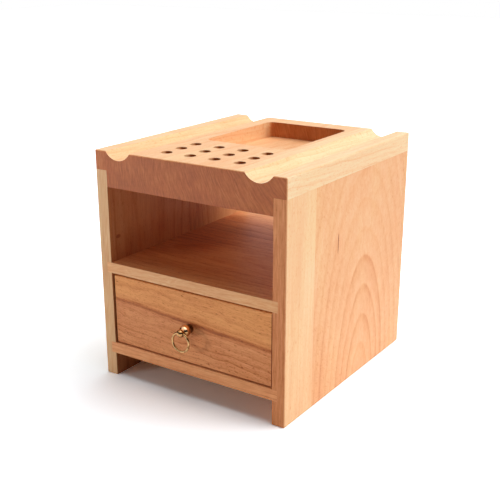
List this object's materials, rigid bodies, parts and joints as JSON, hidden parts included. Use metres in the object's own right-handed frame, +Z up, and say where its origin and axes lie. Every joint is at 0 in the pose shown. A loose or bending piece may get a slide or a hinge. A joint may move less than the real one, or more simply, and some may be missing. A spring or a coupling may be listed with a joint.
{
  "type": "tool storage caddy",
  "caption": "Small hardwood caddy with a drilled and grooved top, a routed tray, an open bay and a drawer with a brass ring pull.",
  "frame": {"origin": "on the floor, under the middle of the whole box with the ring pull included", "axes": "+Z up, +X to the right seen from the front, +Y towards the back; the drawer faces -Y"},
  "size_m": [0.16, 0.1922, 0.174],
  "materials": {
    "beech_block": "satin oiled beech, grain from front to back",
    "beech_panel": "satin oiled beech, grain upright",
    "beech_board": "satin oiled beech, grain across",
    "beech_drawer": "satin oiled beech, darker and redder, grain across",
    "plywood": "sanded birch plywood",
    "brass": "polished",
    "steel": "zinc plated"
  },
  "bodies": {
    "case": {"top_block": "beech_block", "block_dowels": "beech_board", "left_side_panel": "beech_panel", "right_side_panel": "beech_panel", "shelf": "beech_board", "bottom_board": "beech_board", "back_board": "beech_board", "back_brads": "steel"},
    "drawer": {"drawer_front": "beech_drawer", "drawer_left_side": "beech_board", "drawer_right_side": "beech_board", "drawer_back": "beech_board", "drawer_bottom": "plywood", "drawer_brads": "steel", "pull_knob": "brass", "pull_screw": "steel", "pull_washer": "steel"},
    "ring": {"pull_ring": "brass"}
  },
  "joints": [
    {"name": "drawer_slide", "type": "slide", "parent": "case", "child": "drawer", "axis": [0, -1, 0], "range_m": [0, 0.13]},
    {"name": "ring_swing", "type": "hinge", "parent": "drawer", "child": "ring", "pos_m": [0, -0.0931, 0.05455], "axis": [-1, 0, 0], "range_deg": [-35, 215]}
  ]
}
